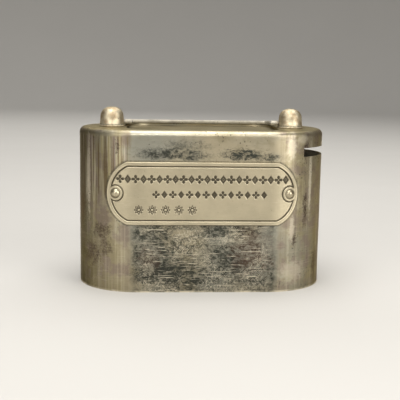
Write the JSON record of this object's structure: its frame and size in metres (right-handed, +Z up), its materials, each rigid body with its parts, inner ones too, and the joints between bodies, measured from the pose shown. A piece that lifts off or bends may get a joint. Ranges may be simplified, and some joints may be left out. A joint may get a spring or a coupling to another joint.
{
  "type": "home savings bank",
  "caption": "Oval nickel-plated steel coin bank with a folding carry handle between two domed posts, a wrap-round name plate, a coin slot in one end and a hinged, lockable bottom.",
  "frame": {"origin": "centre of the base, on the plane that the case stands on", "axes": "+Z up, -Y the front with the name plate, +X the end with the coin slot"},
  "size_m": [0.102, 0.0508, 0.0731],
  "materials": {
    "nickel_case": "old nickel plate, worn and tarnished",
    "nickel_posts": "old nickel plate, warm and speckled",
    "nickel_plate": "satin nickel",
    "nickel_door": "dull nickel plate with scratches",
    "handle_steel": "grey steel with the plating worn off",
    "inner_steel": "dark unplated steel",
    "spring_steel": "drawn spring wire",
    "lock_brass": "dull brass"
  },
  "bodies": {
    "case": {"case_shell": "nickel_case", "top_plate": "nickel_case", "post_left": "nickel_posts", "post_right": "nickel_posts", "post_studs": "inner_steel", "handle_pin_left": "inner_steel", "handle_pin_right": "inner_steel", "name_plate": "nickel_plate", "name_plate_rivets": "nickel_posts", "coin_chute": "inner_steel", "flap_pin": "inner_steel", "flap_spring": "spring_steel", "base_frame": "inner_steel", "hinge_leaf": "nickel_door", "hinge_leaf_rivets": "inner_steel", "hinge_pin": "inner_steel", "bolt_keeper": "inner_steel"},
    "handle": {"carry_handle": "handle_steel"},
    "flap": {"coin_flap": "inner_steel"},
    "door": {"bottom_door": "nickel_door", "keyhole_escutcheon": "lock_brass", "lock_case": "inner_steel", "lock_cap": "inner_steel", "lock_rivets": "nickel_door", "drill_pin": "spring_steel", "ward_ring": "lock_brass", "bolt_spring": "spring_steel"},
    "bolt": {"lock_bolt": "lock_brass"}
  },
  "joints": [
    {"name": "handle_swing", "type": "hinge", "parent": "case", "child": "handle", "pos_m": [0, 0, 0.067], "axis": [1, 0, 0], "range_deg": [0, 185.5]},
    {"name": "flap_swing", "type": "hinge", "parent": "case", "child": "flap", "pos_m": [0.0331, 0, 0.0602], "axis": [0, 1, 0], "range_deg": [0, 70], "stiffness_Nm_per_rad": 0.001, "springref_deg": -20.05, "deforming": ["flap_spring"]},
    {"name": "door_swing", "type": "hinge", "parent": "case", "child": "door", "pos_m": [0, 0.0224, 0.00145], "axis": [1, 0, 0], "range_deg": [0, 105]},
    {"name": "bolt_slide", "type": "slide", "parent": "door", "child": "bolt", "axis": [0, -1, 0], "range_m": [0, 0.0034]}
  ]
}
